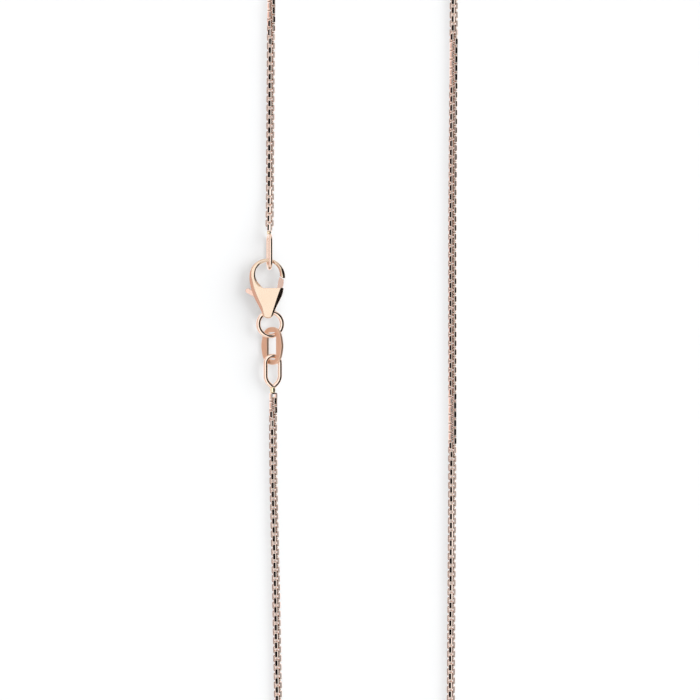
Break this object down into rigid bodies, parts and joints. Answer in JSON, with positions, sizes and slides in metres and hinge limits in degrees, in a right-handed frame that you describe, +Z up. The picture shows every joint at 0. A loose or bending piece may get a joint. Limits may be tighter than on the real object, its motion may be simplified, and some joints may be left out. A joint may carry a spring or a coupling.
{
  "type": "box chain necklace",
  "caption": "Fine box chain necklace of light rose gold, laid flat as a long closed loop, with a lobster clasp, jump ring, blank oval tag link and soldered wire end links.",
  "frame": {"origin": "the middle of the necklace's outline, on the surface it lies on", "axes": "+Y along the long way of the loop, towards which the clasp's claw points; +X from the strand with the clasp to the plain strand; +Z up from the surface"},
  "size_m": [0.0356, 0.2094, 0.0031],
  "materials": {
    "polished_rose_gold": "polished light rose gold",
    "chain_rose_gold": "polished light rose gold, flat strip links",
    "satin_rose_gold": "satin brushed rose gold",
    "solder": "slightly yellow gold solder, as melted",
    "spring_steel": "drawn spring wire"
  },
  "bodies": {
    "clasp": {"clasp_body": "polished_rose_gold", "clasp_pivot_pin": "polished_rose_gold", "clasp_spring": "spring_steel", "chain_right_clasp_row": "chain_rose_gold"},
    "trigger": {"clasp_trigger": "polished_rose_gold"},
    "row_up_1": {"upper_end_link": "polished_rose_gold", "upper_solder_joint": "solder", "chain_left_up_1": "chain_rose_gold", "chain_right_up_1": "chain_rose_gold"},
    "ring_row": {"chain_right_ring_row": "chain_rose_gold"},
    "jump_ring": {"jump_ring": "polished_rose_gold"},
    "tag_row": {"chain_right_tag_row": "chain_rose_gold"},
    "tag_link": {"tag_link": "satin_rose_gold"},
    "row_down_1": {"lower_end_link": "polished_rose_gold", "lower_solder_joint": "solder", "chain_left_down_1": "chain_rose_gold", "chain_right_down_1": "chain_rose_gold"},
    "row_up_2": {"chain_left_up_2": "chain_rose_gold", "chain_right_up_2": "chain_rose_gold"},
    "row_up_3": {"chain_left_up_3": "chain_rose_gold", "chain_right_up_3": "chain_rose_gold"},
    "row_up_4": {"chain_left_up_4": "chain_rose_gold", "chain_right_up_4": "chain_rose_gold"},
    "row_down_2": {"chain_left_down_2": "chain_rose_gold", "chain_right_down_2": "chain_rose_gold"},
    "row_down_3": {"chain_left_down_3": "chain_rose_gold", "chain_right_down_3": "chain_rose_gold"},
    "row_down_4": {"chain_left_down_4": "chain_rose_gold", "chain_right_down_4": "chain_rose_gold"},
    "row_down_5": {"chain_left_down_5": "chain_rose_gold", "chain_right_down_5": "chain_rose_gold"},
    "top_left_bar": {"chain_left_top_bar": "chain_rose_gold"},
    "top_right_bar": {"chain_right_top_bar": "chain_rose_gold"},
    "top_turn": {"chain_top_turn": "chain_rose_gold"},
    "bottom_left_bar": {"chain_left_bottom_bar": "chain_rose_gold"},
    "bottom_right_bar": {"chain_right_bottom_bar": "chain_rose_gold"},
    "bottom_turn": {"chain_bottom_turn": "chain_rose_gold"}
  },
  "joints": [
    {"name": "clasp_trigger_press", "type": "hinge", "parent": "clasp", "child": "trigger", "pos_m": [-0.01237, 0.00904, 0.0014], "axis": [0, 0, 1], "range_deg": [0, 20], "stiffness_Nm_per_rad": 0.0005, "deforming": ["clasp_spring"]},
    {"name": "row_up_1_lift", "type": "hinge", "parent": "clasp", "child": "row_up_1", "pos_m": [-0.01381, 0.01355, 0.00145], "axis": [0.9998, 0, -0.022], "range_deg": [0, 12]},
    {"name": "row_up_2_lift", "type": "hinge", "parent": "row_up_1", "child": "row_up_2", "pos_m": [-0.01373, 0.02539, 0.00074], "axis": [1, 0, 0.0013], "range_deg": [0, 12]},
    {"name": "row_up_3_lift", "type": "hinge", "parent": "row_up_2", "child": "row_up_3", "pos_m": [-0.01363, 0.04093, 0.00076], "axis": [1, 0, 0.0007], "range_deg": [0, 12]},
    {"name": "row_up_4_lift", "type": "hinge", "parent": "row_up_3", "child": "row_up_4", "pos_m": [-0.01352, 0.05647, 0.00075], "axis": [1, 0, 0.0002], "range_deg": [0, 12]},
    {"name": "ring_row_lift", "type": "hinge", "parent": "clasp", "child": "ring_row", "pos_m": [-0.01369, 0.00541, 0.00136], "axis": [-0.9998, 0, 0.0192], "range_deg": [0, 10]},
    {"name": "jump_ring_turn", "type": "hinge", "parent": "ring_row", "child": "jump_ring", "pos_m": [-0.01369, 0.00381, 0.00136], "axis": [0.225, 0, 0.9744], "continuous": true},
    {"name": "tag_row_lift", "type": "hinge", "parent": "ring_row", "child": "tag_row", "pos_m": [-0.01332, 0.00245, 0.00136], "axis": [-0.9998, 0, 0.0194], "range_deg": [0, 8]},
    {"name": "tag_link_roll", "type": "hinge", "parent": "tag_row", "child": "tag_link", "pos_m": [-0.01332, 0.00018, 0.00133], "axis": [0, 1, 0], "range_deg": [-12, 4]},
    {"name": "row_down_1_lift", "type": "hinge", "parent": "tag_row", "child": "row_down_1", "pos_m": [-0.01326, -0.00199, 0.00133], "axis": [-0.9998, 0, 0.0184], "range_deg": [0, 10]},
    {"name": "row_down_2_lift", "type": "hinge", "parent": "row_down_1", "child": "row_down_2", "pos_m": [-0.01319, -0.01457, 0.00076], "axis": [-1, 0, 0.0002], "range_deg": [0, 12]},
    {"name": "row_down_3_lift", "type": "hinge", "parent": "row_down_2", "child": "row_down_3", "pos_m": [-0.01294, -0.03011, 0.00076], "axis": [-1, 0, 0], "range_deg": [0, 12]},
    {"name": "row_down_4_lift", "type": "hinge", "parent": "row_down_3", "child": "row_down_4", "pos_m": [-0.01261, -0.04565, 0.00076], "axis": [-1, 0, 0], "range_deg": [0, 12]},
    {"name": "row_down_5_lift", "type": "hinge", "parent": "row_down_4", "child": "row_down_5", "pos_m": [-0.01238, -0.06119, 0.00076], "axis": [-1, 0, 0], "range_deg": [0, 12]},
    {"name": "top_left_bar_sway", "type": "hinge", "parent": "row_up_4", "child": "top_left_bar", "pos_m": [-0.0136, 0.07201, 0.00075], "axis": [0, 0, 1], "range_deg": [-10, 10]},
    {"name": "top_right_bar_sway", "type": "hinge", "parent": "row_up_4", "child": "top_right_bar", "pos_m": [0.01701, 0.07201, 0.00076], "axis": [0, 0, 1], "range_deg": [-10, 10]},
    {"name": "top_turn_sway", "type": "hinge", "parent": "top_left_bar", "child": "top_turn", "pos_m": [-0.0136, 0.08459, 0.00075], "axis": [0, 0, 1], "range_deg": [-10, 10]},
    {"name": "bottom_left_bar_sway", "type": "hinge", "parent": "row_down_5", "child": "bottom_left_bar", "pos_m": [-0.01234, -0.07303, 0.00076], "axis": [0, 0, 1], "range_deg": [-10, 10]},
    {"name": "bottom_right_bar_sway", "type": "hinge", "parent": "row_down_5", "child": "bottom_right_bar", "pos_m": [0.01639, -0.07303, 0.00076], "axis": [0, 0, 1], "range_deg": [-10, 10]},
    {"name": "bottom_turn_sway", "type": "hinge", "parent": "bottom_left_bar", "child": "bottom_turn", "pos_m": [-0.01234, -0.08561, 0.00076], "axis": [0, 0, 1], "range_deg": [-10, 10]}
  ],
  "couplings": [
    {"joint": "top_right_bar_sway", "follows": "top_left_bar_sway", "ratio": 1},
    {"joint": "top_turn_sway", "follows": "top_left_bar_sway", "ratio": -1},
    {"joint": "bottom_right_bar_sway", "follows": "bottom_left_bar_sway", "ratio": 1},
    {"joint": "bottom_turn_sway", "follows": "bottom_left_bar_sway", "ratio": -1}
  ]
}
